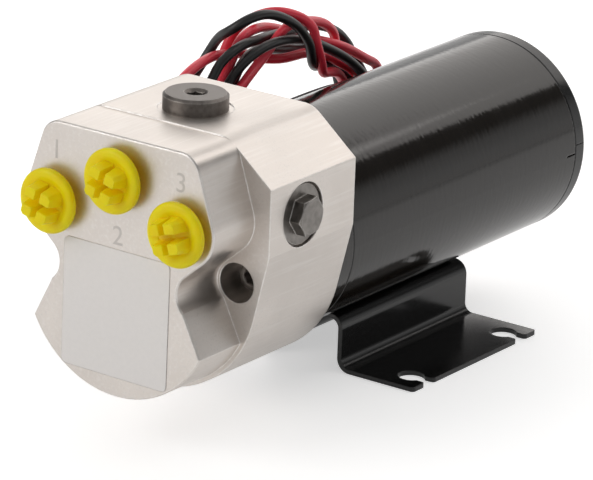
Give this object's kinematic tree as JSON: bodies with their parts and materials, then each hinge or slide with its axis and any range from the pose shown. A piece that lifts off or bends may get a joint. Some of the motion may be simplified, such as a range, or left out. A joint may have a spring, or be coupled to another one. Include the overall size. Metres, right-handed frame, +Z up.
{
  "type": "hydraulic autopilot pump",
  "caption": "Reversible electric gear pump with a ported aluminium body, a round motor, a folded foot bracket and coiled leads.",
  "frame": {"origin": "centre of the four foot slots, on the face the feet stand on", "axes": "+Z up from the feet; +Y along the pump from the port face to the motor's end; +X across it, to the right as seen from the ports"},
  "size_m": [0.0928, 0.2145, 0.1046],
  "materials": {
    "pump_body": "milled bare aluminium, satin",
    "bare_aluminium": "fine turned",
    "black_steel_screw": "black oxide, lightly oiled",
    "seal_rubber": "matt",
    "ground_steel": "ground",
    "spring_steel": "drawn wire",
    "bush_bronze": "sintered",
    "plated_steel": "zinc plated",
    "black_plug": "phosphated",
    "yellow_plastic": "moulded, slightly translucent",
    "white_label": "satin sticker",
    "black_paint": "gloss black paint",
    "ferrite": "sintered",
    "core_steel": "stacked laminations",
    "winding_copper": "varnished",
    "commutator_copper": "turned",
    "card_board": "laminate",
    "brush_brass": "pressed sheet",
    "carbon": "pressed carbon",
    "bracket_black": "black paint",
    "grommet_rubber": "moulded",
    "red_insulation": "smooth",
    "black_insulation": "smooth"
  },
  "bodies": {
    "housing": {"pump_body": "pump_body", "bearing_plate": "bare_aluminium", "plate_screws": "black_steel_screw", "body_bolt_left": "black_steel_screw", "body_bolt_right": "black_steel_screw", "bracket_screws": "black_steel_screw", "chamber_seal": "seal_rubber", "shaft_seal": "seal_rubber", "side_plug_seal_left": "seal_rubber", "side_plug_seal_right": "seal_rubber", "top_plug_seal": "seal_rubber", "valve_seat_left": "ground_steel", "valve_seat_right": "ground_steel", "front_bearing": "ground_steel", "poppet_spring_left": "spring_steel", "poppet_spring_right": "spring_steel", "brush_springs": "spring_steel", "front_bushes": "bush_bronze", "rear_bushes": "bush_bronze", "rear_bush": "bush_bronze", "side_plug_left": "plated_steel", "side_plug_right": "plated_steel", "tie_bolts": "plated_steel", "top_plug": "black_plug", "port_cap_a": "yellow_plastic", "port_cap_b": "yellow_plastic", "port_cap_r": "yellow_plastic", "rating_label": "white_label", "motor_tube": "black_paint", "motor_end_cap": "black_paint", "motor_front_bell": "black_paint", "magnet_left": "ferrite", "magnet_right": "ferrite", "brush_card": "card_board", "brush_boxes": "brush_brass", "brushes": "carbon", "mounting_bracket": "bracket_black", "lead_grommet": "grommet_rubber", "red_lead": "red_insulation", "black_lead": "black_insulation", "lead_coil": "black_insulation"},
    "rotor": {"drive_gear": "ground_steel", "shaft_coupling": "ground_steel", "armature_shaft": "ground_steel", "armature_core": "core_steel", "armature_winding": "winding_copper", "commutator": "commutator_copper"},
    "idler": {"idler_gear": "ground_steel"},
    "spool": {"pilot_spool": "ground_steel"},
    "poppet_left": {"check_poppet_left": "ground_steel"},
    "poppet_right": {"check_poppet_right": "ground_steel"}
  },
  "joints": [
    {"name": "rotor_spin", "type": "hinge", "parent": "housing", "child": "rotor", "pos_m": [0, 0, 0.0515], "axis": [0, 1, 0], "continuous": true},
    {"name": "idler_spin", "type": "hinge", "parent": "housing", "child": "idler", "pos_m": [0, 0, 0.0335], "axis": [0, 1, 0], "continuous": true},
    {"name": "spool_shift", "type": "slide", "parent": "housing", "child": "spool", "axis": [1, 0, 0], "range_m": [-0.0015, 0.0015]},
    {"name": "poppet_lift_left", "type": "slide", "parent": "housing", "child": "poppet_left", "axis": [-1, 0, 0], "range_m": [0, 0.0015], "stiffness_N_per_m": 400, "deforming": ["poppet_spring_left"]},
    {"name": "poppet_lift_right", "type": "slide", "parent": "housing", "child": "poppet_right", "axis": [1, 0, 0], "range_m": [0, 0.0015], "stiffness_N_per_m": 400, "deforming": ["poppet_spring_right"]}
  ],
  "couplings": [
    {"joint": "idler_spin", "follows": "rotor_spin", "ratio": -1}
  ]
}
